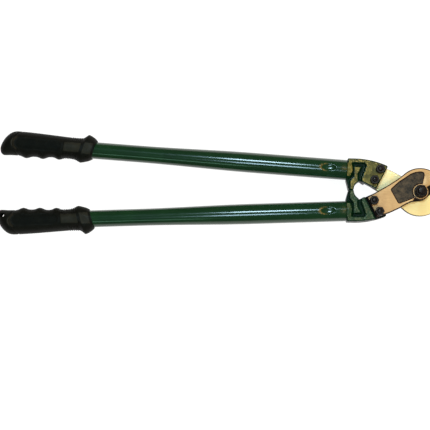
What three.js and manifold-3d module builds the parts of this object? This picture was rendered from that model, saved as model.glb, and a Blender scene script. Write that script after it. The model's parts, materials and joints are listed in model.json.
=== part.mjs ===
// Long-handled cable cutter, closed, lying on its side.
//
// Frame: millimetres, +Z up. The pivot axis is Z, through the origin. The origin is on the flat end
// of the pivot bolt's head, which is level with what the tool lies on. +X runs along the tool
// towards the jaws' tips, and +Y is the left handle's side.
//
// The tool is two equal halves. Each half is a rubber grip, a steel handle tube, a cast yoke and a
// forged blade held in a step of the yoke by two bolts. The right half is the left half turned half
// a turn about the tool's long axis, so its blade is on top. The halves are drawn about the plane
// where the blades meet, which is z = 0 in a half's own frame.

import * as THREE from 'three';
import { mergeVertices } from 'three/addons/utils/BufferGeometryUtils.js';
import Module from 'manifold-3d';

// ---- Driving dimensions, mm ----

const RUNNING_GAP = 0.3; // between pieces that slide past or sit round each other
const SEAT_GAP = 0.1; // between a fastener and what it presses on
const HALF_TURN = Math.PI;

// Blades
const BLADE_THICKNESS = 7;
const HUB_RADIUS = 31.6; // outer edge round the pivot
const BOSS_RADIUS = 11.3; // full-height ring that the pivot's nut or washer presses on
const THROAT_RADIUS = 42; // cutting edge
const THROAT_CENTRE = new THREE.Vector2(36.2, 38.5);
const BEVEL_WIDTH = 10;
const RECESS_DEPTH = 1;
const RECESS_RADIUS = 25.6; // of its edge that follows the hub

// Where a blade's arm is bolted to its yoke
const ARM_END = new THREE.Vector2(-63.9, 22.3); // middle of the blade's end
const ARM_ANGLE = THREE.MathUtils.degToRad(-27.1);
const ARM_END_WIDTH = 29.2;
const BOLT_ROW = 6.3; // from the blade's end to the row of bolts
const BOLT_SPACING = 16.2;
const BOLT_OFFSET = 1.4; // of the row's middle towards the outer edge
const STEP_CLEARANCE = 3; // from the yoke's step to the blade's end
const TONGUE_LENGTH = 13.7; // from the blade's end to the tongue's end
const TONGUE_INNER = -15.8; // the tongue's corners, across the arm
const TONGUE_OUTER = 18.1;

// Yokes
const YOKE_HALF_THICKNESS = 10.5;
const YOKE_GROOVE_DEPTH = 3.2;
const SOCKET = new THREE.Vector2(-97.4, 27.5); // where a tube's axis meets its yoke
const HANDLE_ANGLE = THREE.MathUtils.degToRad(3.15); // each tube leans out from the tool's axis
const COLLAR_RADIUS = 14.4;
const COLLAR_LENGTH = 3.5;
const TANG_LENGTH = 42;

// Handle tubes, measured along the tube from the yoke
const TUBE_RADIUS = 13.5;
const TUBE_WALL = 2.5;
const TUBE_GRIP_RADIUS = 11.3; // the tube is drawn down to this under the grip
const TAPER_START = 125;
const TAPER_END = 275;
const TUBE_LENGTH = 430;
const DENT_AT = 25;
const DENT = new THREE.Vector3(10, 4.4, 2.6); // half sizes of the dent that locks the tube to the tang

// Grips, measured along the tube from the yoke
const GRIP_MOUTH = 337.6;
const GRIP_SLANT = 0.23; // the guard and mouth lean towards the head on the palm side
const FINGER_PITCH = 22.5;
const FINGER_RIDGE = 2.6;
const LAST_RIDGE = 91.4; // from the mouth to the ridge nearest the grip's end
const HANG_HOLE = { along: 118.3, across: -7.5, radius: 3 }; // along is from the mouth

// Fasteners: shank radius, across flats, head height, nut height, washer radius and thickness
const M6 = { shank: 3, flats: 11, head: 4, nut: 5, washer: 6.5, spring: 1.6, reach: 1.5 };
const M10 = { shank: 5, flats: 14, head: 6.4, nut: 8, washer: 8.9, spring: 2.2, reach: 2.2, plain: 1.6 };

const NUT_CHAMFER = 1.6; // outward run per unit height of the cone that trims a nut's corners

const MID_HEIGHT = BLADE_THICKNESS + M10.plain + M10.head + 2 * SEAT_GAP; // of the blades' meeting plane

// ---- Materials ----

const paint = (color) => new THREE.MeshStandardMaterial({ color, roughness: 0.3, metalness: 0.1 });
const steel = (color, roughness) => new THREE.MeshStandardMaterial({ color, roughness, metalness: 0.9 });

const GREEN_PAINT = paint(0x0f3d22);
const CAST_PAINT = paint(0x24402a);
const TOP_STEEL = steel(0xd8b078, 0.35);
const BOTTOM_STEEL = steel(0xf2dfa0, 0.35);
const BLACK_STEEL = steel(0x1c1a18, 0.4);
const RUBBER = new THREE.MeshStandardMaterial({ color: 0x14140f, roughness: 0.6, metalness: 0 });

// ---- Solids ----

const wasm = await Module();
wasm.setup();

function toSolid(geometry) {
  const bare = geometry.index ? geometry.toNonIndexed() : geometry.clone();
  bare.deleteAttribute('normal');
  bare.deleteAttribute('uv');
  const merged = mergeVertices(bare, 1e-3);
  return new wasm.Manifold(new wasm.Mesh({
    numProp: 3,
    vertProperties: new Float32Array(merged.attributes.position.array),
    triVerts: new Uint32Array(merged.index.array),
  }));
}

function toGeometry(solid) {
  const mesh = solid.getMesh();
  const geometry = new THREE.BufferGeometry();
  geometry.setAttribute('position', new THREE.BufferAttribute(mesh.vertProperties, 3));
  geometry.setIndex(new THREE.BufferAttribute(mesh.triVerts, 1));
  geometry.computeVertexNormals();
  return geometry;
}

function named(name, geometry, material) {
  const mesh = new THREE.Mesh(geometry, material);
  mesh.name = name;
  return mesh;
}

// An upright prism on a shape, from height low to height high.
function prism(shape, low, high, curveSegments) {
  const options = { depth: high - low, bevelEnabled: false, curveSegments };
  return toSolid(new THREE.ExtrudeGeometry(shape, options).translate(0, 0, low));
}

// An upright cone or cylinder at (x, y), from height low to height high.
function post(x, y, lowRadius, highRadius, low, high, segments = 32) {
  const geometry = new THREE.CylinderGeometry(highRadius, lowRadius, high - low, segments);
  geometry.rotateX(Math.PI / 2).translate(x, y, (low + high) / 2);
  return toSolid(geometry);
}

// A solid of revolution about the local X axis. The profile's points are (x, radius).
function turned(profile, segments) {
  const points = profile.map(([x, radius]) => new THREE.Vector2(radius, x));
  return new THREE.LatheGeometry(points, segments).rotateZ(-Math.PI / 2);
}

function hexagon(acrossFlats) {
  const corner = acrossFlats / Math.sqrt(3);
  const shape = new THREE.Shape();
  for (let i = 0; i < 6; i++) {
    const angle = (i + 0.5) * Math.PI / 3;
    const [x, y] = [corner * Math.cos(angle), corner * Math.sin(angle)];
    if (i === 0) shape.moveTo(x, y);
    else shape.lineTo(x, y);
  }
  shape.closePath();
  return shape;
}

// A point of the blade's arm: along the arm from the blade's end, and across it.
function armPoint(along, across) {
  const offset = new THREE.Vector2(along, across).rotateAround(new THREE.Vector2(), ARM_ANGLE);
  return offset.add(ARM_END);
}

const boltPlaces = {
  outer: armPoint(BOLT_ROW, BOLT_OFFSET + BOLT_SPACING / 2),
  inner: armPoint(BOLT_ROW, BOLT_OFFSET - BOLT_SPACING / 2),
};

const THROUGH = 2 * YOKE_HALF_THICKNESS; // past both faces of whatever is drilled

function drillBoltHoles(solid) {
  for (const { x, y } of Object.values(boltPlaces)) {
    const radius = M6.shank + RUNNING_GAP;
    solid = solid.subtract(post(x, y, radius, radius, -THROUGH, THROUGH, 18));
  }
  return solid;
}

// ---- Blade, in the left half's frame: under the meeting plane, its jaw on the -Y side ----

function bladeOutline() {
  const innerEnd = armPoint(0, -ARM_END_WIDTH / 2);
  const outerEnd = armPoint(0, ARM_END_WIDTH / 2);
  const hubStart = THREE.MathUtils.degToRad(-133);
  const hubEnd = THREE.MathUtils.degToRad(-69);
  const inside = THROAT_RADIUS - 1; // the bevel trims the outline back to the cutting edge
  const edgeTipX = 70;
  const edgeHeelX = 8;
  const edgeAngle = (x) => -Math.acos((x - THROAT_CENTRE.x) / inside);
  const edgePoint = (x) => THROAT_CENTRE.y + inside * Math.sin(edgeAngle(x));

  const shape = new THREE.Shape();
  shape.moveTo(innerEnd.x, innerEnd.y);
  shape.lineTo(-47, -4.9);
  shape.quadraticCurveTo(-33, -13.2, HUB_RADIUS * Math.cos(hubStart), HUB_RADIUS * Math.sin(hubStart));
  shape.absarc(0, 0, HUB_RADIUS, hubStart, hubEnd, false);
  shape.quadraticCurveTo(56, -13.5, 74, 14);
  shape.quadraticCurveTo(75.5, 17.5, edgeTipX, edgePoint(edgeTipX));
  shape.absarc(THROAT_CENTRE.x, THROAT_CENTRE.y, inside, edgeAngle(edgeTipX), edgeAngle(edgeHeelX), true);
  shape.quadraticCurveTo(4.5, 11.9, -3, 12.5);
  shape.bezierCurveTo(-14, 13.4, -17, 16.2, -27, 22.4);
  shape.lineTo(-40, 28.9);
  shape.lineTo(outerEnd.x, outerEnd.y);
  shape.closePath();
  return shape;
}

function recessOutline() {
  const shape = new THREE.Shape();
  shape.moveTo(-37.3, 0);
  shape.lineTo(-29.2, 14.4);
  shape.quadraticCurveTo(-28.2, 15.8, -26.6, 15.2);
  shape.lineTo(-10, 8.2);
  shape.lineTo(0, 0);
  shape.lineTo(1.6, -11);
  shape.lineTo(4, -22.4);
  shape.quadraticCurveTo(4.2, -RECESS_RADIUS, 0, -RECESS_RADIUS);
  shape.absarc(0, 0, RECESS_RADIUS, THREE.MathUtils.degToRad(-90), THREE.MathUtils.degToRad(-128), true);
  shape.lineTo(-28, -11.8);
  shape.lineTo(-37.4, -2.8);
  shape.quadraticCurveTo(-38.8, -1.6, -37.3, 0);
  return shape;
}

function bladeSolid() {
  const [meeting, outside] = [-RUNNING_GAP / 2, -BLADE_THICKNESS];
  const beyond = 1;
  const bevelSlope = BEVEL_WIDTH / (meeting - outside);
  const boss = post(0, 0, BOSS_RADIUS, BOSS_RADIUS, outside - beyond, beyond, 48);
  const recess = prism(recessOutline(), outside - beyond, outside + RECESS_DEPTH, 7).subtract(boss);
  const bevel = post(
    THROAT_CENTRE.x, THROAT_CENTRE.y,
    THROAT_RADIUS + BEVEL_WIDTH + beyond * bevelSlope, THROAT_RADIUS, outside - beyond, meeting, 144,
  ).subtract(boss);
  const bore = M10.shank + RUNNING_GAP;
  const plate = prism(bladeOutline(), outside, meeting, 14)
    .subtract(recess)
    .subtract(bevel)
    .subtract(post(0, 0, bore, bore, outside - beyond, beyond, 24));
  return toGeometry(drillBoltHoles(plate));
}

// ---- Yoke, in the left half's frame: its tongue lies above the meeting plane ----

function yokeOutline() {
  const shape = new THREE.Shape();
  const tongueInner = armPoint(TONGUE_LENGTH, TONGUE_INNER);
  const tongueCorner = armPoint(TONGUE_LENGTH, TONGUE_OUTER);
  const tongueOuter = armPoint(TONGUE_LENGTH, TONGUE_OUTER - 2);
  const backRadius = 110; // of the long outer edge
  const backStart = -88;
  const backTop = SOCKET.y + COLLAR_RADIUS;
  const backAngle = Math.acos((tongueCorner.x - 2 - backStart) / backRadius);
  shape.moveTo(-96.6, backTop);
  shape.lineTo(-98.4, 13);
  shape.lineTo(-95, RUNNING_GAP / 2);
  shape.lineTo(-88.6, RUNNING_GAP / 2);
  shape.bezierCurveTo(-88.4, 5.4, -86, 9.2, -80.8, 12.2);
  shape.lineTo(tongueInner.x, tongueInner.y);
  shape.lineTo(tongueOuter.x, tongueOuter.y);
  const backCentreY = backTop - backRadius;
  const backEndX = backStart + backRadius * Math.cos(backAngle);
  const backEndY = backCentreY + backRadius * Math.sin(backAngle);
  shape.quadraticCurveTo(tongueCorner.x, tongueCorner.y, backEndX, backEndY);
  shape.absarc(backStart, backCentreY, backRadius, backAngle, Math.PI / 2, false);
  shape.closePath();
  return shape;
}

// The sunk channel round the raised rib that runs down into the stop lug.
function grooveOutline() {
  const corners = [
    [-99.5, -1], [-94.2, -1], [-93.7, 12], [-88.9, 17.6], [-88.9, 31.4], [-77.7, 31.4], [-82.6, 22],
    [-82.8, 16], [-81.2, 9], [-77.8, 9], [-78.4, 16], [-72.4, 32.6], [-74.4, 35.6], [-89.8, 35.6],
    [-92, 33.4], [-92, 17.6], [-99.5, 17.6],
  ];
  return new THREE.Shape(corners.map(([x, y]) => new THREE.Vector2(x, y)));
}

// The half-thickness that the blade's arm lies in, from the step to past the tongue's end.
function seatOutline() {
  const [step, past, wide] = [-STEP_CLEARANCE, 60, 60];
  const corners = [[step, -wide], [past, -wide], [past, wide], [step, wide]];
  return new THREE.Shape(corners.map(([along, across]) => armPoint(along, across)));
}

// Places a solid drawn along a handle's axis, with x = 0 at the yoke, into the half's frame.
function alongHandle(geometry) {
  return geometry.rotateZ(-HANDLE_ANGLE).translate(SOCKET.x, SOCKET.y, 0);
}

function dents(grow) {
  const both = [1, -1].map((side) => {
    const ball = new THREE.SphereGeometry(1, 14, 8);
    ball.scale(DENT.x + grow, DENT.y + grow, DENT.z + grow);
    return toSolid(ball.translate(-DENT_AT, 0, side * (TUBE_RADIUS + 0.3)));
  });
  return both[0].add(both[1]);
}

function yokeSolid() {
  const half = YOKE_HALF_THICKNESS;
  const collarEnd = COLLAR_LENGTH + COLLAR_RADIUS - half;
  const tangRadius = TUBE_RADIUS - TUBE_WALL - RUNNING_GAP;
  const tang = toSolid(turned([
    [-TANG_LENGTH, 0], [-TANG_LENGTH, tangRadius - 1.5], [-TANG_LENGTH + 1.5, tangRadius],
    [0, tangRadius], [0, COLLAR_RADIUS], [COLLAR_LENGTH, COLLAR_RADIUS], [collarEnd, half],
    [collarEnd, 0],
  ], 28)).subtract(dents(TUBE_WALL + RUNNING_GAP));
  const tangInPlace = toSolid(alongHandle(toGeometry(tang)));

  const beyond = 1;
  const outside = COLLAR_RADIUS + beyond;
  const groove = prism(grooveOutline(), half - YOKE_GROOVE_DEPTH, outside, 1)
    .add(prism(grooveOutline(), -outside, YOKE_GROOVE_DEPTH - half, 1));
  const body = prism(yokeOutline(), -half, half, 12)
    .subtract(prism(seatOutline(), -half - beyond, RUNNING_GAP / 2, 1))
    .subtract(groove);
  return toGeometry(drillBoltHoles(body.add(tangInPlace)));
}

// ---- Handle tube ----

function tubeSolid() {
  const end = -RUNNING_GAP;
  const outer = [
    [-TUBE_LENGTH, TUBE_GRIP_RADIUS], [-TAPER_END, TUBE_GRIP_RADIUS],
    [-TAPER_START, TUBE_RADIUS], [end, TUBE_RADIUS],
  ];
  const shrunk = (by) => outer.map(([x, radius]) => [x, radius - by]);
  const tube = toSolid(turned([...outer, ...shrunk(TUBE_WALL).reverse(), outer[0]], 36));
  const core = turned([[-TUBE_LENGTH, 0], ...shrunk(TUBE_WALL / 2), [end, 0]], 36);
  const pressedIn = dents(TUBE_WALL).intersect(toSolid(core));
  const dented = tube.add(pressedIn).subtract(dents(0));
  return alongHandle(toGeometry(dented));
}

// ---- Grip ----

// Stations along the grip: distance from its mouth, reach on the palm side and on the finger side,
// and half thickness.
const GRIP_STATIONS = [
  [0, 12.8, 12.6, 12.8], [3, 15.4, 14.6, 13.6], [8, 18.3, 16.4, 14.6],
  [12, 20, 17.5, 15], [14, 20.3, 17.8, 15.1], [16, 18.2, 17.2, 14.8], // the guard
  [19, 15.5, 15.7, 14.1], [23, 15, 14.3, 13.8], [30, 14.8, 13.5, 13.9],
  [58, 16.3, 13.6, 14.5], [81, 17.4, 14.8, 14.7], [103, 18, 14.7, 14.4],
  [108, 17.5, 14.8, 14.1], [113, 15.6, 15, 13.4], [118, 11.4, 15.5, 11.8], // the rounded end
  [122, 6.3, 15.4, 9.3], [125, 0.2, 13.2, 6], [126.5, -4, 9.5, 2.5],
];

function gripSection(s) {
  const next = Math.max(1, GRIP_STATIONS.findIndex(([station]) => station >= s));
  const [a, b] = [GRIP_STATIONS[next - 1], GRIP_STATIONS[next]];
  const share = (s - a[0]) / (b[0] - a[0]);
  const [, palm, finger, thick] = a.map((value, i) => THREE.MathUtils.lerp(value, b[i], share));
  const { smoothstep } = THREE.MathUtils;
  const ridged = smoothstep(s, 33, 40) * (1 - smoothstep(s, 97, 105));
  const ridge = FINGER_RIDGE * ridged * Math.abs(Math.cos(Math.PI * (s - LAST_RIDGE) / FINGER_PITCH)) ** 3;
  return { palm, finger: finger + ridge, thick };
}

function gripSolid(hangs) {
  const length = GRIP_STATIONS.at(-1)[0];
  const ridgeSteps = Array.from({ length: 15 }, (_, i) => LAST_RIDGE + (2 - i) * FINGER_PITCH / 4);
  const steps = [...GRIP_STATIONS.map(([s]) => s), ...ridgeSteps].sort((a, b) => a - b);
  const profile = [[0, 0], ...steps.map((s) => [-s, 1]), [-length, 0]].reverse();
  const skin = turned(profile, 20);
  const position = skin.attributes.position;
  for (let i = 0; i < position.count; i++) {
    const s = -position.getX(i);
    const { palm, finger, thick } = gripSection(s);
    const middle = (palm - finger) / 2;
    const y = middle + position.getY(i) * (palm + finger) / 2;
    const slant = GRIP_SLANT * (1 - THREE.MathUtils.smoothstep(s, 16, 60));
    position.setXYZ(i, -GRIP_MOUTH - s + slant * y, y, position.getZ(i) * thick);
  }
  const boreRadius = TUBE_GRIP_RADIUS + RUNNING_GAP;
  const bore = toSolid(turned([
    [-TUBE_LENGTH - RUNNING_GAP, 0], [-TUBE_LENGTH - RUNNING_GAP, boreRadius], [0, boreRadius], [0, 0],
  ], 28));
  const grip = toSolid(skin).subtract(bore);
  if (!hangs) return alongHandle(toGeometry(grip));
  const { along, across, radius } = HANG_HOLE;
  const hangHole = post(-GRIP_MOUTH - along, across, radius, radius, -20, 20, 24);
  return alongHandle(toGeometry(grip.subtract(hangHole)));
}

// ---- Fasteners, upright, with z = 0 at the face that each presses on ----

// A hexagon-headed bolt, head down, whose shank rises by length above the head's bearing face.
function boltGeometry(size, length) {
  const { shank, head } = size;
  const chamfer = shank / 4;
  const rod = new THREE.LatheGeometry([
    new THREE.Vector2(0, -head / 2), new THREE.Vector2(shank, -head / 2),
    new THREE.Vector2(shank, length - chamfer), new THREE.Vector2(shank - chamfer, length),
    new THREE.Vector2(0, length),
  ], 18).rotateX(Math.PI / 2);
  return toGeometry(prism(hexagon(size.flats), -head, 0, 1).add(toSolid(rod)));
}

function nutGeometry(size) {
  const hole = size.shank + RUNNING_GAP;
  const flat = size.flats / 2;
  const cone = post(0, 0, flat + NUT_CHAMFER * size.nut, flat - 0.3, 0, size.nut, 24);
  const blank = prism(hexagon(size.flats), 0, size.nut, 1).intersect(cone);
  return toGeometry(blank.subtract(post(0, 0, hole, hole, -1, size.nut + 1, 18)));
}

// A split spring washer: a ring with a narrow gap.
function springWasherGeometry(size) {
  const slot = 0.05; // half angle of the split
  const inner = size.shank + RUNNING_GAP;
  const shape = new THREE.Shape();
  shape.absarc(0, 0, size.washer, slot, 2 * Math.PI - slot, false);
  shape.absarc(0, 0, inner, 2 * Math.PI - slot, slot, true);
  shape.closePath();
  return toGeometry(prism(shape, 0, size.spring, 12));
}

function plainWasherGeometry(size) {
  const inner = size.shank + RUNNING_GAP;
  return toGeometry(post(0, 0, size.washer + 0.6, size.washer + 0.6, 0, size.plain, 28)
    .subtract(post(0, 0, inner, inner, -1, size.plain + 1, 18)));
}

function placed(mesh, x, y, z) {
  mesh.position.set(x, y, z);
  return mesh;
}

// The two blade bolts of one half, with their washers and nuts. side is 1 for the left half and -1
// for the right one. under and over are the heights of the faces that the bolts clamp between.
function bladeFasteners(name, side, under, over) {
  const group = new THREE.Group();
  const headTop = under - SEAT_GAP;
  const washerAt = over + SEAT_GAP;
  const nutAt = washerAt + M6.spring + SEAT_GAP;
  const length = nutAt + M6.nut + M6.reach - headTop;
  for (const [place, { x, y }] of Object.entries(boltPlaces)) {
    const bolt = named(`${name}_${place}_blade_bolt`, boltGeometry(M6, length), BLACK_STEEL);
    const washer = named(`${name}_${place}_lock_washer`, springWasherGeometry(M6), BLACK_STEEL);
    const nut = named(`${name}_${place}_blade_nut`, nutGeometry(M6), BLACK_STEEL);
    bolt.position.set(x, side * y, headTop);
    washer.position.set(x, side * y, washerAt);
    nut.position.set(x, side * y, nutAt);
    group.add(bolt, washer, nut);
  }
  return group;
}

function pivotFasteners() {
  const plainAt = -BLADE_THICKNESS - SEAT_GAP - M10.plain;
  const headTop = plainAt - SEAT_GAP;
  const springAt = BLADE_THICKNESS + SEAT_GAP;
  const nutAt = springAt + M10.spring + SEAT_GAP;
  const length = nutAt + M10.nut + M10.reach - headTop;
  const bolt = named('pivot_bolt', boltGeometry(M10, length), BLACK_STEEL);
  const washer = named('pivot_washer', plainWasherGeometry(M10), BLACK_STEEL);
  const lockWasher = named('pivot_lock_washer', springWasherGeometry(M10), BLACK_STEEL);
  const nut = named('pivot_nut', nutGeometry(M10), BLACK_STEEL);
  bolt.position.z = headTop;
  washer.position.z = plainAt;
  lockWasher.position.z = springAt;
  nut.position.z = nutAt;
  return new THREE.Group().add(bolt, washer, lockWasher, nut);
}

// ---- Assembly ----

function half(side, blade, bladeSteel) {
  const group = new THREE.Group();
  group.add(
    named(`${side}_grip`, gripSolid(side === 'right'), RUBBER),
    named(`${side}_handle_tube`, tubeSolid(), GREEN_PAINT),
    named(`${side}_yoke`, yokeSolid(), CAST_PAINT),
    named(blade, bladeSolid(), bladeSteel),
  );
  return group;
}

const cutter = new THREE.Group();
cutter.position.z = MID_HEIGHT;

const leftHalf = half('left', 'bottom_blade', BOTTOM_STEEL);
const rightHalf = half('right', 'top_blade', TOP_STEEL);
rightHalf.rotation.x = HALF_TURN;

cutter.add(
  leftHalf,
  rightHalf,
  bladeFasteners('left', 1, -BLADE_THICKNESS, YOKE_HALF_THICKNESS),
  bladeFasteners('right', -1, -YOKE_HALF_THICKNESS, BLADE_THICKNESS),
  pivotFasteners(),
);

const root = new THREE.Group();
root.add(cutter);

export default root;
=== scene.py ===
"""Looks for the long-handled cable cutter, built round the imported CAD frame.

Everything is in metres in the row's frame: +X towards the jaws' tips, +Y towards the left handle
and +Z up along the pivot. Each half of the tool is drawn about the plane where the blades meet,
and the right half is the left half turned half a turn about the tool's long axis. Only the right
grip has a hanging hole.
"""

import json
import math

import bmesh
import bpy
from mathutils import Matrix, Vector
from mathutils.kdtree import KDTree


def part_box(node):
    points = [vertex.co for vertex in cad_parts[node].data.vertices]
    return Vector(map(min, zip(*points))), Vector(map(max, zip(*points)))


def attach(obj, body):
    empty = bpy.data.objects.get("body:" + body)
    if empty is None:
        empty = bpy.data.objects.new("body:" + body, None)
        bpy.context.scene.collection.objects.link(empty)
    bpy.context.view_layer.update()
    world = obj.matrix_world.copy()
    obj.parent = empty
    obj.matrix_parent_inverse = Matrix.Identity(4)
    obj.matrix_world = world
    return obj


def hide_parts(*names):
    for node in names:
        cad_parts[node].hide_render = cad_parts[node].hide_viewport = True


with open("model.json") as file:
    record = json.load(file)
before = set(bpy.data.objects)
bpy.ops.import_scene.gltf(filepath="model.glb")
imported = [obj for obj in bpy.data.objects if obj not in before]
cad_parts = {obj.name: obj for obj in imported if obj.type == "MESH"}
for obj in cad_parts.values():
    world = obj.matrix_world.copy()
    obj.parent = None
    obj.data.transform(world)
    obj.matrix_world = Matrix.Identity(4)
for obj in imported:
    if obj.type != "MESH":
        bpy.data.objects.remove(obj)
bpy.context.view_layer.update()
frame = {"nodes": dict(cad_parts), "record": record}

MM = 0.001
JOINT = frame["record"]["behaviour"]["joints"][0]
MID = JOINT["pos_m"][2]  # height of the plane where the blades meet
SIDES = {"left": "left_handle", "right": "right_handle"}

# ---- Sizes shared with the CAD, mm ----

SOCKET = Vector((-97.4, 27.5, 0))
HANDLE_ANGLE = math.radians(3.15)
TUBE_RADIUS = 13.5
TUBE_GRIP_RADIUS = 11.3
TAPER_START = 125
TAPER_END = 275
TUBE_LENGTH = 430
DENT_AT = 25
DENT_LENGTH = 10
DENT_WIDTH = 4.4
DENT_DEPTH = 2.3
GRIP_MOUTH = 337.6
GRIP_SLANT = 0.23
FINGER_PITCH = 22.5
FINGER_RIDGE = 2.6
LAST_RIDGE = 91.4
BLADE_THICKNESS = 7
RECESS_DEPTH = 1
YOKE_HALF_THICKNESS = 10.5
BORE_SHARE = 0.82  # the tube's bore, as a share of its outer radius
GRIP_MOST_HEIGHT = 15.1
HANG_HOLE_AT = 118.3
HANG_HOLE_ACROSS = -7.5
HANG_HOLE_RADIUS = 3
WASHER_TRIM = 0.5  # taken off the rims of the blade bolts' lock washers
SMALL_BOLT = {"flats": 10.8, "shank": 3, "head": 4, "pitch": 1}
PIVOT_BOLT = {"flats": 14, "shank": 5, "head": 6.4, "pitch": 1.5}

# Moulded detail on the grips, along the grip from its mouth.
LABEL_SPAN = (18.5, 40)
LABEL_HALF_WIDTH = 6
PALM_PANEL = (44, 106, 7.5)
PANEL_LIP = 0.9  # width of the slope round the palm panel
GUARD_SPAN = (3, 14.5)
GUARD_HALF_WIDTH = 7.5
GUARD_FACET = 14.2  # half thickness at the guard's flat faces
SERRATION_PITCH = 2.6
SERRATION_DEPTH = 0.5

# Along the grip from its mouth: reach on the palm side, on the finger side, and half thickness.
GRIP_STATIONS = [
    (0, 12.8, 12.6, 12.8), (3, 15.4, 14.6, 13.6), (8, 18.3, 16.4, 14.6),
    (12, 19.95, 17.5, 15), (14, 20.2, 17.8, 15.1), (16, 18.2, 17.2, 14.8),
    (19, 15.5, 15.7, 14.1), (23, 15, 14.3, 13.8), (30, 14.8, 13.5, 13.9),
    (58, 16.3, 13.6, 14.5), (81, 17.4, 14.8, 14.7), (103, 17.93, 14.7, 14.4),
    (108, 17.5, 14.8, 14.1), (113, 15.6, 15, 13.4), (118, 11.4, 15.5, 11.8),
    (122, 6.3, 15.4, 9.3), (125, 0.2, 13.2, 6), (126.5, -4, 9.5, 2.5),
]


# ---- Small helpers ----

def srgb(red, green, blue):
    """A colour given as 0 to 255 screen values, as linear light."""
    def linear(value):
        value /= 255
        return value / 12.92 if value <= 0.04045 else ((value + 0.055) / 1.055) ** 2.4
    return (linear(red), linear(green), linear(blue), 1)


def smoothstep(low, high, value):
    t = min(1, max(0, (value - low) / (high - low)))
    return t * t * (3 - 2 * t)


def window(value, low, high, ramp):
    """1 inside low to high, falling to 0 over ramp on both sides."""
    return smoothstep(low - ramp, low, value) * (1 - smoothstep(high, high + ramp, value))


def half_place(side):
    """From a half's own frame in mm to the row's frame in m."""
    turn = Matrix.Identity(4) if side == "left" else Matrix.Rotation(math.pi, 4, "X")
    return Matrix.Translation((0, 0, MID)) @ turn @ Matrix.Scale(MM, 4)


def handle_place(side):
    """From a handle's own frame in mm, with x = 0 at the yoke, to the row's frame in m."""
    return half_place(side) @ Matrix.Translation(SOCKET) @ Matrix.Rotation(-HANDLE_ANGLE, 4, "Z")


def new_object(name, mesh, materials):
    piece = bpy.data.objects.new(name, mesh)
    bpy.context.scene.collection.objects.link(piece)
    for material in materials:
        mesh.materials.append(material)
    return piece


def loft(name, rings, place, materials, caps=(True, True), closed=False):
    """A skin through rings of the same number of points, with its ends capped or joined up."""
    mesh = bpy.data.meshes.new(name)
    shape = bmesh.new()
    rows = [[shape.verts.new(place @ Vector(point)) for point in ring] for ring in rings]
    count = len(rows[0])
    for low, high in zip(rows, rows[1:] + rows[:1] if closed else rows[1:]):
        for i in range(count):
            j = (i + 1) % count
            shape.faces.new((low[i], low[j], high[j], high[i]))
    for wanted, row in zip(caps, (rows[0], rows[-1])):
        if wanted and not closed:
            shape.faces.new(row)
    bmesh.ops.recalc_face_normals(shape, faces=shape.faces)
    for face in shape.faces:
        face.smooth = len(face.verts) == 4
    shape.to_mesh(mesh)
    shape.free()
    return new_object(name, mesh, materials)


def apply_modifiers(piece):
    shown = piece.evaluated_get(bpy.context.evaluated_depsgraph_get())
    piece.data = bpy.data.meshes.new_from_object(shown)
    piece.modifiers.clear()


def finish_piece(piece, body, slot, *nodes):
    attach(piece, body)
    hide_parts(*nodes)


def store(mesh, name, values):
    """Keeps one number for each vertex, for the materials to read."""
    attribute = mesh.attributes.new(name, "FLOAT", "POINT")
    attribute.data.foreach_set("value", values)


# ---- Material nodes ----

class Surface:
    """A material under construction, with its Principled shader and object coordinates in mm."""

    def __init__(self, name):
        self.material = bpy.data.materials.new(name)
        self.material.use_nodes = True
        self.tree = self.material.node_tree
        self.shader = self.tree.nodes["Principled BSDF"]
        coordinates = self.tree.nodes.new("ShaderNodeTexCoord")
        self.place = self.vector("MULTIPLY", coordinates.outputs["Object"], (1 / MM,) * 3)

    def node(self, kind, inputs=(), **settings):
        made = self.tree.nodes.new(kind)
        for key, value in settings.items():
            setattr(made, key, value)
        for key, value in dict(inputs).items():
            self.feed(made.inputs[key], value)
        return made

    def feed(self, socket, value):
        if isinstance(value, bpy.types.NodeSocket):
            self.tree.links.new(value, socket)
        else:
            socket.default_value = value

    def vector(self, operation, a, b):
        return self.node("ShaderNodeVectorMath", {0: a, 1: b}, operation=operation).outputs["Vector"]

    def math(self, operation, a, b=0.0):
        return self.node("ShaderNodeMath", {0: a, 1: b}, operation=operation).outputs["Value"]

    def noise(self, scale, detail=4, stretch=(1, 1, 1), rough=0.55):
        """Noise with about scale features per mm."""
        vector = self.vector("MULTIPLY", self.place, stretch)
        inputs = {"Vector": vector, "Scale": scale, "Detail": detail, "Roughness": rough}
        return self.node("ShaderNodeTexNoise", inputs).outputs["Fac"]

    def remap(self, value, low, high, to_low=0.0, to_high=1.0):
        inputs = {"Value": value, "From Min": low, "From Max": high, "To Min": to_low, "To Max": to_high}
        return self.node("ShaderNodeMapRange", inputs, clamp=True).outputs["Result"]

    def mix(self, factor, a, b):
        made = self.node("ShaderNodeMix", data_type="RGBA")
        for index, value in ((0, factor), (6, a), (7, b)):
            self.feed(made.inputs[index], value)
        return made.outputs[2]

    def axis(self, name):
        return self.node("ShaderNodeSeparateXYZ", {0: self.place}).outputs[name]

    def height(self):
        """Distance from the plane where the blades meet."""
        return self.math("ABSOLUTE", self.math("SUBTRACT", self.axis("Z"), MID / MM))

    def stored(self, name):
        return self.node("ShaderNodeAttribute", attribute_name=name).outputs["Fac"]

    def set(self, **values):
        """Sets the shader's sockets, with spaces in their names written as underscores."""
        for key, value in values.items():
            self.feed(self.shader.inputs[key.replace("_", " ")], value)

    def bump(self, height, distance, under=None):
        """Adds relief: height is 0 to 1 and distance is its depth in mm."""
        inputs = {"Height": height, "Distance": distance * MM, "Strength": 1.0}
        if under is not None:
            inputs["Normal"] = under
        made = self.node("ShaderNodeBump", inputs).outputs["Normal"]
        self.set(Normal=made)
        return made


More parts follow.
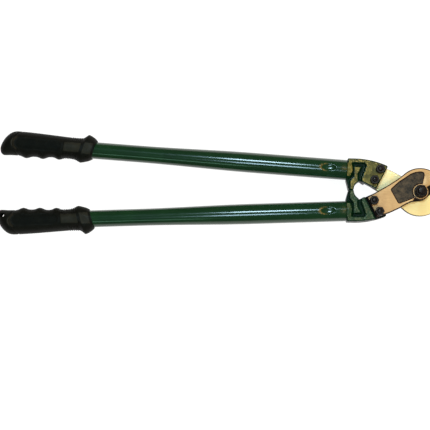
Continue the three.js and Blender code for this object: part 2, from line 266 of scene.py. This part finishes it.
def green_paint():
    """Gloss enamel on a steel tube, with orange peel. Round the crimp it turns gold: painted warm reflection
    round the dents' rims, and scuffed paint by the yoke.
    """
    surface = Surface("green_paint")
    green = surface.mix(surface.remap(surface.noise(0.03, 3), 0.35, 0.65), srgb(3, 40, 15), srgb(7, 47, 18))
    specks = surface.remap(surface.noise(0.8, 5), 0.7, 0.74, 0, 0.5)
    green = surface.mix(specks, green, srgb(40, 74, 46))
    # Gold over the green: painted warm reflection round the dents' rims, and scuffed paint by the yoke.
    worn_and_sheen = surface.math("MULTIPLY", surface.stored("sheen_and_wear"), surface.remap(surface.noise(0.5, 5), 0.35, 0.6))
    surface.set(Base_Color=surface.mix(worn_and_sheen, green, srgb(140, 116, 62)))
    surface.set(Roughness=surface.remap(surface.noise(0.12, 5), 0.3, 0.7, 0.34, 0.46))
    surface.set(Coat_Weight=1.0, Coat_Roughness=0.13, Specular_IOR_Level=0.08)
    coarser = surface.remap(surface.axis("Y"), -5, 5, 1.0, 0.3)
    peel = surface.bump(surface.math("MULTIPLY", surface.noise(0.4, 2), coarser), 0.008)
    surface.bump(surface.noise(0.025, 1), 0.06, peel)
    return surface.material


def cast_paint(name, dark_olive, light_olive, scuffs_and_sheen_share, highlight_speck, speck_share):
    """Green paint on a casting. Its raised flat faces are scuffed, and painted olive to gold as a warm
    reflection, with painted highlight specks near their edges; the low places are darkened as painted shade.
    """
    surface = Surface(name)
    ragged = surface.remap(surface.noise(0.5, 4), 0.3, 0.7, -0.5, 0.5)
    inward = surface.math("ADD", surface.stored("inward"), ragged)
    flat = surface.remap(inward, 1.1, 1.9)
    ridge = surface.math("MULTIPLY", flat, surface.remap(inward, 2, 3.6, 1, 0))
    patches = surface.remap(surface.noise(0.12, 5), 0.42, 0.6)
    streaks = surface.remap(surface.noise(0.5, 4, (1, 0.35, 1)), 0.38, 0.62)
    dark = surface.mix(surface.remap(surface.noise(0.1, 4), 0.35, 0.65), srgb(2, 26, 9), srgb(9, 40, 16))
    olive = surface.mix(patches, dark_olive, light_olive)
    # Raised faces turn olive to gold: painted warm reflection, with scuffs in streaks.
    scuffs_and_sheen = surface.math("MULTIPLY", flat, surface.remap(streaks, 0, 1, scuffs_and_sheen_share, 1.0))
    # Painted highlights: light specks on the raised faces, most just inside their edges.
    specks = surface.math("ADD", surface.noise(0.65, 6), surface.math("MULTIPLY", ridge, 0.13))
    painted_highlights = surface.math("MULTIPLY", flat, surface.remap(specks, 0.62, 0.72, 0, speck_share))
    colour = surface.mix(scuffs_and_sheen, dark, olive)
    colour = surface.mix(painted_highlights, colour, highlight_speck)
    # Painted shade: darker towards the low places, down to near black in the gap between a yoke and its
    # blade.
    depth = surface.remap(surface.height(), 4, 10, 0.95, 0)
    surface.set(Base_Color=surface.mix(depth, colour, srgb(2, 12, 6)))
    surface.set(Roughness=surface.remap(patches, 0, 1, 0.34, 0.5))
    sheen = surface.remap(surface.height(), 8.5, 10, 0.04, 0.14)
    surface.set(Coat_Weight=sheen, Coat_Roughness=0.16, Specular_IOR_Level=0.1)
    coarse = surface.bump(surface.noise(0.22, 4), 0.25)
    surface.bump(surface.noise(1.2, 3), 0.07, coarse)
    return surface.material


def blade_face(name, arm, hub, shade):
    """Ground and lacquered steel: fine lines along the arm, and a tint that deepens at the hub."""
    surface = Surface(name)
    lines = surface.noise(0.8, 5, (0.12, 1.0, 1.0))
    along = surface.math("ADD", surface.axis("X"), surface.remap(surface.noise(0.08, 3), 0.3, 0.7, -14, 14))
    tint = surface.mix(surface.remap(along, -48, 6), arm, hub)
    cloud = surface.remap(surface.noise(0.09, 5), 0.4, 0.68)
    tone = surface.math("ADD", surface.remap(lines, 0.35, 0.65, 0, 0.35), surface.remap(cloud, 0, 1, 0, 0.5))
    surface.set(Base_Color=surface.mix(tone, tint, shade))
    surface.set(Metallic=0.18, Roughness=surface.remap(lines, 0.3, 0.7, 0.36, 0.48))
    fine = surface.bump(lines, 0.012)
    surface.bump(surface.noise(0.35, 2), 0.03, fine)
    return surface.material


def scale_steel(name, low, high, rough, depth, scale=0.8, metallic=0.4):
    """Dark scale left on steel, mottled and slightly pitted. On the blades' cutting bevels, and in part on
    their rims, it is painted shade.
    """
    surface = Surface(name)
    speckle = surface.noise(scale, 5)
    patches = surface.noise(scale * 0.3, 4)
    tone = surface.math("ADD", surface.math("MULTIPLY", speckle, 0.5), surface.math("MULTIPLY", patches, 0.5))
    surface.set(Base_Color=surface.mix(surface.remap(tone, 0.38, 0.62), low, high))
    surface.set(Metallic=metallic, Roughness=surface.remap(speckle, 0.3, 0.7, rough, rough + 0.15))
    surface.bump(speckle, depth)
    return surface.material


def grip_rubber(name, low, high, rough, stipple):
    """Moulded black grip. stipple is the depth in mm of its moulded dots."""
    surface = Surface(name)
    surface.set(Base_Color=surface.mix(surface.remap(surface.noise(0.12, 4), 0.35, 0.65), low, high))
    surface.set(Roughness=surface.remap(surface.noise(0.6, 4), 0.3, 0.7, rough, rough + 0.12))
    surface.set(Specular_IOR_Level=0.14)
    grain = surface.bump(surface.noise(2.2, 3), 0.03)
    if stipple:
        inputs = {"Vector": surface.place, "Scale": 0.55, "Randomness": 0.1}
        cells = surface.node("ShaderNodeTexVoronoi", inputs).outputs["Distance"]
        surface.bump(surface.remap(cells, 0.12, 0.32, 1, 0), stipple, grain)
    return surface.material


GREEN_PAINT = green_paint()
# The left yoke's copy carries more painted reflection and highlight than the right yoke's.
CAST_PAINTS = {
    "left": cast_paint("cast_paint_scuffed_and_lit", srgb(84, 80, 40), srgb(126, 118, 64), 0.8,
                       srgb(180, 162, 96), 0.9),
    "right": cast_paint("cast_paint", srgb(42, 66, 46), srgb(80, 88, 62), 0.6,
                        srgb(112, 126, 104), 0.7),
}
TOP_STEEL = blade_face("top_blade_steel", srgb(210, 168, 114), srgb(212, 170, 112), srgb(184, 142, 94))
BOTTOM_STEEL = blade_face("bottom_blade_steel", srgb(255, 240, 184), srgb(255, 228, 156), srgb(255, 212, 140))
# Scale on the blades' walls, and the colour of their dark rims, where it is partly painted shadow.
BLADE_WALL = scale_steel("blade_wall", srgb(30, 12, 4), srgb(52, 25, 11), 0.5, 0.04, 0.8, 0.1)
BLADE_RECESS = scale_steel("blade_recess", srgb(34, 27, 17), srgb(88, 74, 56), 0.6, 0.25, 0.5, 0.1)
# Painted shade: the ground cutting bevel is coloured near black where it turns from the light.
BLADE_BEVEL = scale_steel("blade_bevel", srgb(14, 12, 6), srgb(32, 28, 16), 0.3, 0.02)
BLACK_STEEL = scale_steel("black_steel", srgb(19, 13, 8), srgb(50, 38, 31), 0.3, 0.02, 1.1, 0.6)
GRIP_RUBBER = grip_rubber("grip_rubber", srgb(9, 9, 4), srgb(14, 14, 8), 0.5, 0)
GRIP_STIPPLE = grip_rubber("grip_stipple", srgb(6, 7, 3), srgb(11, 12, 6), 0.58, 0.15)
GRIP_END = grip_rubber("grip_end", srgb(24, 22, 14), srgb(38, 35, 26), 0.45, 0)
GRIP_PANEL = grip_rubber("grip_panel", srgb(28, 28, 21), srgb(37, 36, 28), 0.42, 0)


# ---- Handle tubes ----

CRIMP_ZONE = 50  # from the yoke, where the rings of the tube's mesh lie close together


def tube_radius(along):
    return TUBE_RADIUS + (TUBE_GRIP_RADIUS - TUBE_RADIUS) * smoothstep(TAPER_START, TAPER_END, along)


def tube_point(along, angle):
    """A point on the tube's skin, and how gold its paint is there: painted reflection round the dent, and
    scuffs by the yoke.
    """
    radius = tube_radius(along)
    y, z = radius * math.cos(angle), radius * math.sin(angle)
    reach = math.hypot((along - DENT_AT) / DENT_LENGTH, y / DENT_WIDTH)
    if reach < 1:
        z *= 1 - DENT_DEPTH * math.sqrt(1 - reach ** 2) / radius
    # Painted warm reflection round the dent's rim, on its side towards the grip.
    rim = math.exp(-((reach - 1.1) / 0.16) ** 2) * smoothstep(-1, 7, along - DENT_AT)
    collar = math.exp(-((along - 4) / 3.5) ** 2 - (y / 3.5) ** 2)
    return (-along, y, z), min(1, rim + 0.35 * collar)


def handle_tube(side):
    segments = 144
    near = [0.3 + 0.5 * i for i in range(2 * CRIMP_ZONE)]
    far = [CRIMP_ZONE + 2.5 * i for i in range(1, 200) if CRIMP_ZONE + 2.5 * i < TUBE_LENGTH]
    turns = [2 * math.pi * i / segments for i in range(segments)]
    rings, sheen_and_wear = [], []
    for along in near + far + [TUBE_LENGTH]:
        points = [tube_point(along, turn) for turn in turns]
        rings.append([point for point, _ in points])
        sheen_and_wear += [worn_and_sheen for _, worn_and_sheen in points]
    bore = [(x, y * BORE_SHARE, z * BORE_SHARE) for x, y, z in rings[0]]
    tube = loft(f"{side}_tube_shell", [bore] + rings, handle_place(side), [GREEN_PAINT], (False, True))
    store(tube.data, "sheen_and_wear", [0.0] * segments + sheen_and_wear)
    finish_piece(tube, SIDES[side], "green_paint", f"{side}_handle_tube")


# ---- Grips ----

def curve_through(stations, value, column):
    """A smooth curve through one column of the stations."""
    last = len(stations) - 1
    i = min(last - 1, max(k for k in range(last + 1) if stations[k][0] <= value))
    at = [stations[min(last, max(0, i + k))] for k in (-1, 0, 1, 2)]
    span = at[2][0] - at[1][0]
    t = (value - at[1][0]) / span
    start = (at[2][column] - at[0][column]) / (at[2][0] - at[0][0]) * span
    end = (at[3][column] - at[1][column]) / (at[3][0] - at[1][0]) * span
    a, b = at[1][column], at[2][column]
    return ((2 * t ** 3 - 3 * t ** 2 + 1) * a + (t ** 3 - 2 * t ** 2 + t) * start
            + (3 * t ** 2 - 2 * t ** 3) * b + (t ** 3 - t ** 2) * end)


def grip_section(s):
    palm, finger, thick = (curve_through(GRIP_STATIONS, s, column) for column in (1, 2, 3))
    ridged = smoothstep(33, 40, s) * (1 - smoothstep(97, 105, s))
    wave = abs(math.cos(math.pi * (s - LAST_RIDGE) / FINGER_PITCH)) ** 3
    return palm, finger, thick, FINGER_RIDGE * ridged * wave


def in_stadium(s, y, low, high, half_width):
    """Distance outside a strip with round ends, negative inside it."""
    centre = min(high - half_width, max(low + half_width, s))
    return math.hypot(s - centre, y) - half_width


def grip_relief(s, y, turn):
    """Height in mm of the moulded detail at s along the grip, y across it and turn round it."""
    face = smoothstep(0.3, 0.55, abs(math.sin(turn)))
    palm_side = smoothstep(0.45, 0.75, math.cos(turn))
    finger_side = smoothstep(0.45, 0.75, -math.cos(turn))
    label = 0.4 * face * window(s, *LABEL_SPAN, 0.5) * window(y, -LABEL_HALF_WIDTH, LABEL_HALF_WIDTH, 0.5)
    sunk = -0.55 * face * (1 - smoothstep(-PANEL_LIP, 0, in_stadium(s, y, *PALM_PANEL)))
    serration = math.sin(2 * math.pi * s / SERRATION_PITCH)
    palm_ribs = SERRATION_DEPTH * palm_side * window(s, 19, 33, 1.5) * serration
    finger_ribs = SERRATION_DEPTH * finger_side * window(s, 19, 42, 1.5) * serration
    groove = -0.6 * math.exp(-((s - 109.5 + 0.035 * y * y) / 0.8) ** 2)
    return label + sunk + palm_ribs + finger_ribs + groove


def grip_ring(s, segments):
    palm, finger, thick, ridge = grip_section(s)
    middle, half = (palm - finger) / 2, (palm + finger) / 2
    slant = GRIP_SLANT * (1 - smoothstep(16, 60, s))
    ring = []
    for i in range(segments):
        turn = 2 * math.pi * i / segments
        out = Vector((math.cos(turn) / half, math.sin(turn) / thick)).normalized()
        relief = grip_relief(s, middle + half * math.cos(turn), turn)
        y = middle + half * math.cos(turn) - ridge * smoothstep(-0.35, -1, math.cos(turn))
        y += relief * out.x
        z = thick * math.sin(turn) + relief * out.y
        facet = GUARD_FACET + 1.2 * smoothstep(5, 9, abs(y)) if 2 < s < 17 else GRIP_MOST_HEIGHT
        z = math.copysign(min(abs(z), facet, GRIP_MOST_HEIGHT), z)
        ring.append((-GRIP_MOUTH - s + slant * y, y, z))
    return ring


def bored(piece, place, radius):
    """Cuts an upright round hole through the piece at a place in its handle's frame."""
    rings = []
    for z in (-20, 20):
        ring = [place @ Vector((radius * math.cos(t), radius * math.sin(t), z)) for t in
                (2 * math.pi * i / 48 for i in range(48))]
        rings.append(ring)
    cutter = loft(f"{piece.name}_cutter", rings, Matrix.Identity(4), [])
    cut = piece.modifiers.new("hole", "BOOLEAN")
    cut.object = cutter
    cut.operation = "DIFFERENCE"
    cut.solver = "EXACT"
    apply_modifiers(piece)
    bpy.data.objects.remove(cutter)
    piece.data.set_sharp_from_angle(angle=math.radians(40))


RAISED, STIPPLED, ENDMOST = 1, 2, 3  # places of these rubbers in a grip's list of materials


def grip(side):
    segments = 144
    length = GRIP_STATIONS[-1][0]
    steps = [i * 0.6 for i in range(187)] + [112.2 + i * 0.3 for i in range(48)] + [length]
    bore = TUBE_GRIP_RADIUS + 0.3
    turns = [2 * math.pi * i / segments for i in range(segments)]
    mouth = [(-GRIP_MOUTH + GRIP_SLANT * bore * math.cos(t), bore * math.cos(t), bore * math.sin(t))
             for t in turns]
    inside = [(x - 4, y, z) for x, y, z in mouth]
    rings = [inside, mouth] + [grip_ring(s, segments) for s in steps]
    rubbers = [GRIP_RUBBER, GRIP_PANEL, GRIP_STIPPLE, GRIP_END]
    piece = loft(f"{side}_grip_moulding", rings, handle_place(side), rubbers, (False, True))
    to_local = handle_place(side).inverted()
    for face in piece.data.polygons:
        centre = to_local @ face.center
        slant = GRIP_SLANT * (1 - smoothstep(16, 60, -centre.x - GRIP_MOUTH))
        s = -centre.x - GRIP_MOUTH + slant * centre.y
        if abs(centre.z) < 8:
            continue
        on_label = LABEL_SPAN[0] < s < LABEL_SPAN[1] and abs(centre.y) < LABEL_HALF_WIDTH
        on_guard = GUARD_SPAN[0] < s < GUARD_SPAN[1] and abs(centre.y) < GUARD_HALF_WIDTH
        outside = in_stadium(s, centre.y, *PALM_PANEL)
        crescent = 6 - 0.3 * abs(centre.y - 2)
        if on_label or on_guard:
            face.material_index = RAISED
        elif outside < -PANEL_LIP:
            face.material_index = STIPPLED
        elif s > PALM_PANEL[1] - 3 and 0.8 < outside < crescent:
            face.material_index = ENDMOST
    if side == "right":
        middle = Matrix.Translation((-GRIP_MOUTH - HANG_HOLE_AT, HANG_HOLE_ACROSS, 0))
        bored(piece, handle_place(side) @ middle, HANG_HOLE_RADIUS)
    finish_piece(piece, SIDES[side], "grip_rubber", f"{side}_grip")


# ---- Yokes and blades, refined from their CAD solids ----

def cleaned_copy(node):
    """The node's solid without the seams inside its flat faces."""
    shape = bmesh.new()
    shape.from_mesh(frame["nodes"][node].data)
    bmesh.ops.remove_doubles(shape, verts=shape.verts, dist=2e-6)
    limit = math.radians(0.8)
    bmesh.ops.dissolve_limit(shape, angle_limit=limit, verts=shape.verts, edges=shape.edges)
    bmesh.ops.recalc_face_normals(shape, faces=shape.faces)
    return shape


def to_piece(shape, name, materials, sharp=35):
    for face in shape.faces:
        face.smooth = True
    mesh = bpy.data.meshes.new(name)
    shape.to_mesh(mesh)
    shape.free()
    mesh.set_sharp_from_angle(angle=math.radians(sharp))
    return new_object(name, mesh, materials)


YOKE_VOXEL = 0.5
RAISED_FACE_SLACK = 0.35  # a casting's face this far below its full height still counts as raised


def yoke(side):
    """The casting, with every edge and corner softened as sand-cast metal under paint is."""
    node = f"{side}_yoke"
    piece = to_piece(cleaned_copy(node), f"{node}_casting", [CAST_PAINTS[side]])
    remesh = piece.modifiers.new("even_mesh", "REMESH")
    remesh.mode = "VOXEL"
    remesh.voxel_size = YOKE_VOXEL * MM
    remesh.use_smooth_shade = True
    smooth = piece.modifiers.new("soft_edges", "SMOOTH")
    smooth.factor = 0.5
    smooth.iterations = 6
    apply_modifiers(piece)
    store(piece.data, "inward", inward_distances(piece.data))
    finish_piece(piece, SIDES[side], "cast_paint", node)


def inward_distances(mesh):
    """How far in mm each point of a casting's raised faces is from their nearest edge."""
    heights = [abs(vertex.co.z - MID) / MM for vertex in mesh.vertices]
    raised = YOKE_HALF_THICKNESS - RAISED_FACE_SLACK
    lower = [vertex.co for vertex, height in zip(mesh.vertices, heights) if height < raised]
    tree = KDTree(len(lower))
    for i, place in enumerate(lower):
        tree.insert(place, i)
    tree.balance()
    return [tree.find(vertex.co)[2] / MM if height >= raised else 0.0
            for vertex, height in zip(mesh.vertices, heights)]


FACE, WALL, SUNK, CUTTING = range(4)  # kinds of surface on a blade
EDGE_WIDTH = 1.35  # of the dark chamfer round a blade's outer face, its dark partly painted shadow along the edge
MEETING_EDGE_WIDTH = 0.4  # of the dark rim where the blades meet, painted contact shadow
EDGE_DROP = 0.65  # a chamfer's depth for its width


def blade_kind(face):
    height = abs(face.calc_center_median().z - MID) / MM
    upright = abs(face.normal.z)
    if upright > 0.999:
        return SUNK if abs(height - (BLADE_THICKNESS - RECESS_DEPTH)) < 0.1 else FACE
    return WALL if upright < 0.1 else CUTTING


def blade(node, body, face_steel):
    """The forging, with scale left on its walls and its sunk panel. Its outer edges are dark, partly as scale
    and partly as painted shadow; the rim where the blades meet is painted contact shadow, and the cutting
    bevel is painted near black as shade.
    """
    shape = cleaned_copy(node)
    for face in shape.faces:
        face.material_index = blade_kind(face)

    # Dark chamfered rims round the faces: on the outer face partly painted shadow along the edge, and where
    # the blades meet painted contact shadow.
    for outer, width in ((True, EDGE_WIDTH), (False, MEETING_EDGE_WIDTH)):
        level = [face for face in shape.faces if face.material_index == FACE
                 and (abs(face.calc_center_median().z - MID) > 5 * MM) == outer]
        drop = EDGE_DROP * width * MM
        rise = drop if level[0].normal.z > 0 else -drop
        for vertex in {vertex for face in level for vertex in face.verts}:
            vertex.co.z -= rise
        rim = bmesh.ops.inset_region(
            shape, faces=level, thickness=width * MM, depth=drop, use_even_offset=True,
        )
        for face in rim["faces"]:
            face.material_index = WALL
    piece = to_piece(shape, f"{node}_forging", [face_steel, BLADE_WALL, BLADE_RECESS, BLADE_BEVEL])
    edges = piece.modifiers.new("worn_edges", "BEVEL")
    edges.width = 0.2 * MM
    edges.segments = 2
    edges.limit_method = "ANGLE"
    edges.angle_limit = math.radians(50)
    edges.harden_normals = True
    finish_piece(piece, body, f"{node}_steel", node)


# ---- Fasteners ----

def hexagon_reach(angle, flats):
    """Distance from the middle of a hexagon to its outline."""
    return flats / 2 / math.cos((angle + math.pi / 6) % (math.pi / 3) - math.pi / 6)


def hexagon_rings(flats, heights, crowned):
    """Rings of a hexagon whose corners are turned off by a cone at each crowned end."""
    turns = [2 * math.pi * i / 96 for i in range(96)]
    low, high = heights
    crown = 0.22 * flats * 0.577
    steps = [crown * k / 6 for k in range(6)]
    levels = [low + step for step in steps] + [high - step for step in reversed(steps)]
    rings = []
    for z in levels:
        room = [z - low] if "low" in crowned else []
        room += [high - z] if "high" in crowned else []
        cone = min([flats / 2 - 0.25 + 1.75 * gap for gap in room] or [flats])
        ring = [(min(hexagon_reach(t, flats), cone), t) for t in turns]
        rings.append([(r * math.cos(t), r * math.sin(t), z) for r, t in ring])
    return rings


def round_ring(radius, z, count=96):
    return [(radius * math.cos(2 * math.pi * i / count), radius * math.sin(2 * math.pi * i / count), z)
            for i in range(count)]


def thread_rings(shank, low, high, pitch):
    """Rings of a screw thread that rises once round for each pitch, with a chamfered end."""
    rings = []
    z = low
    while z < high - 0.05:
        ring = []
        for i in range(96):
            phase = (z / pitch - i / 96) % 1
            depth = 0.32 * pitch * (1 - abs(2 * phase - 1)) * smoothstep(low, low + 1, z)
            radius = min(shank - depth, shank * 0.78 + 1.1 * (high - z))
            angle = 2 * math.pi * i / 96
            ring.append((radius * math.cos(angle), radius * math.sin(angle), z))
        rings.append(ring)
        z += pitch / 10
    return rings + [round_ring(shank * 0.74, high)]


def upright_place(node):
    """A frame in mm on the node's own axis, with z = 0 at its lowest point, and its height."""
    low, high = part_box(node)
    middle = Vector(((low[0] + high[0]) / 2, (low[1] + high[1]) / 2, low[2]))
    return Matrix.Translation(middle) @ Matrix.Scale(MM, 4), (high[2] - low[2]) / MM


def nut(node, body, flats, shank):
    place, height = upright_place(node)
    outside = hexagon_rings(flats, (0, height), "low high")
    mouth = 0.5
    hole = [(shank + 0.1 + mouth, height), (shank + 0.1, height - mouth), (shank + 0.1, mouth),
            (shank + 0.1 + mouth, 0)]
    rings = outside + [round_ring(radius, z) for radius, z in hole]
    turned = place @ Matrix.Rotation(math.pi / 6, 4, "Z")
    piece = loft(f"{node}_hex", rings, turned, [BLACK_STEEL], closed=True)
    piece.data.set_sharp_from_angle(angle=math.radians(28))
    finish_piece(piece, body, "black_steel", node)


def bolt(node, body, flats, shank, head, pitch):
    place, height = upright_place(node)
    rings = hexagon_rings(flats, (0, head), "low")
    thread_from = height - 8 * pitch
    rings += [round_ring(shank + 0.3, head), round_ring(shank, head + 0.3), round_ring(shank, thread_from)]
    rings += thread_rings(shank, thread_from + 0.05, height, pitch)
    piece = loft(f"{node}_hex", rings, place @ Matrix.Rotation(math.pi / 6, 4, "Z"), [BLACK_STEEL])
    piece.data.set_sharp_from_angle(angle=math.radians(28))
    finish_piece(piece, body, "black_steel", node)


WASHER_RIM_FROM = 0.8  # share of a washer's radius past which a vertex is on its rim


def washer(node, body, edge, trim=0.0):
    """The CAD washer with rounded edges and trim mm turned off its rim."""
    shape = cleaned_copy(node)
    low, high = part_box(node)
    middle = Vector(((low[0] + high[0]) / 2, (low[1] + high[1]) / 2))
    most = (high[0] - low[0]) / 2
    for vertex in shape.verts:
        out = vertex.co.xy - middle
        if out.length > WASHER_RIM_FROM * most:
            vertex.co.xy -= out.normalized() * trim * MM
    piece = to_piece(shape, f"{node}_ring", [BLACK_STEEL])
    bevel = piece.modifiers.new("rounded_edges", "BEVEL")
    bevel.width = edge * MM
    bevel.segments = 3
    bevel.limit_method = "ANGLE"
    bevel.angle_limit = math.radians(32)
    bevel.harden_normals = True
    finish_piece(piece, body, "black_steel", node)


for side in SIDES:
    handle_tube(side)
    grip(side)
    yoke(side)
    for row_place in ("outer", "inner"):
        fastener = f"{side}_{row_place}"
        bolt(f"{fastener}_blade_bolt", SIDES[side], **SMALL_BOLT)
        washer(f"{fastener}_lock_washer", SIDES[side], 0.25, WASHER_TRIM)
        nut(f"{fastener}_blade_nut", SIDES[side], SMALL_BOLT["flats"], SMALL_BOLT["shank"])

blade("top_blade", "right_handle", TOP_STEEL)
blade("bottom_blade", "left_handle", BOTTOM_STEEL)
bolt("pivot_bolt", "right_handle", **PIVOT_BOLT)
nut("pivot_nut", "right_handle", PIVOT_BOLT["flats"], PIVOT_BOLT["shank"])
washer("pivot_washer", "right_handle", 0.25)
washer("pivot_lock_washer", "right_handle", 0.3)


# ---- Floor, light and camera ----

def stage_floor():
    mesh = bpy.data.meshes.new("floor")
    reach = 8
    corners = [(-reach, -reach, 0), (reach, -reach, 0), (reach, reach, 0), (-reach, reach, 0)]
    mesh.from_pydata(corners, [], [(0, 1, 2, 3)])
    surface = Surface("floor_white")
    surface.set(Base_Color=(0.2, 0.2, 0.2, 1), Roughness=0.9, Specular_IOR_Level=0)
    surface.set(Emission_Color=(1, 1, 1, 1), Emission_Strength=0.94)
    floor = new_object("floor", mesh, [surface.material])
    floor.location.z = -0.0003


def area_light(name, place, size, power, colour, glossy):
    """A flat light over the tool, aimed at the middle of the handles."""
    data = bpy.data.lights.new(name, "AREA")
    data.shape = "RECTANGLE"
    data.size, data.size_y = size
    data.energy = power
    data.color = colour
    light = bpy.data.objects.new(name, data)
    bpy.context.scene.collection.objects.link(light)
    target = Vector((-0.25, 0, MID))
    light.visible_glossy = glossy
    light.location = place
    light.rotation_euler = (target - light.location).to_track_quat("-Z", "Y").to_euler()


CAMERA_PLACE = Vector((-0.236, -0.2141, 1.5 + MID))
CAMERA_TARGET = Vector((-0.271, -0.037, MID))
CAMERA_ROLL = -0.027
CAMERA_LENS = 95.17


def camera():
    """Nearly overhead, and cropped just past the pivot."""
    place, target, roll = CAMERA_PLACE, CAMERA_TARGET, CAMERA_ROLL
    data = bpy.data.cameras.new("camera")
    data.sensor_width = 36
    data.lens = CAMERA_LENS
    viewer = bpy.data.objects.new("camera", data)
    bpy.context.scene.collection.objects.link(viewer)
    ahead = (target - place).normalized()
    right = ahead.cross(Vector((math.sin(roll), math.cos(roll), 0))).normalized()
    up = right.cross(ahead)
    viewer.matrix_world = Matrix((
        (right.x, up.x, -ahead.x, place.x),
        (right.y, up.y, -ahead.y, place.y),
        (right.z, up.z, -ahead.z, place.z),
        (0, 0, 0, 1),
    ))
    bpy.context.scene.camera = viewer


def world_light():
    world = bpy.data.worlds.new("studio")
    world.use_nodes = True
    background = world.node_tree.nodes["Background"]
    background.inputs["Color"].default_value = (1, 0.98, 0.95, 1)
    background.inputs["Strength"].default_value = 0.13
    bpy.context.scene.world = world


# Name, place, size, watts, colour, and whether the light is seen in reflections.
LIGHTS = [
    ("strip_far", (-0.2, 0.465, 1.515), (0.24, 0.27), 7, (0.6, 0.86, 1), True),
    ("strip_far_ends", (-0.23, 0.465, 1.5), (0.36, 0.16), 1.4, (0.5, 0.84, 1), True),
    ("strip_near", (-0.21, -0.47, 1.515), (0.26, 0.27), 3.7, (0.56, 0.84, 1), True),
    ("strip_near_ends", (-0.23, -0.47, 1.5), (0.36, 0.16), 0.7, (0.5, 0.84, 1), True),
    ("strip_low", (-0.62, -1.86, 1.515), (0.56, 0.36), 1.7, (0.45, 1, 0.7), True),
    ("soft_back", (-0.2, 2.2, 1.3), (1.8, 1.2), 40, (1, 0.82, 0.6), False),
    ("soft_right", (1.7, -0.5, 1.5), (1.2, 1.2), 38, (1, 0.8, 0.54), False),
    ("soft_front", (-0.2, -2.0, 1.6), (1.8, 1.2), 13, (1, 0.93, 0.82), False),
]

stage_floor()
world_light()
for light_settings in LIGHTS:
    area_light(*light_settings)
camera()
bpy.context.scene.view_settings.view_transform = "Standard"
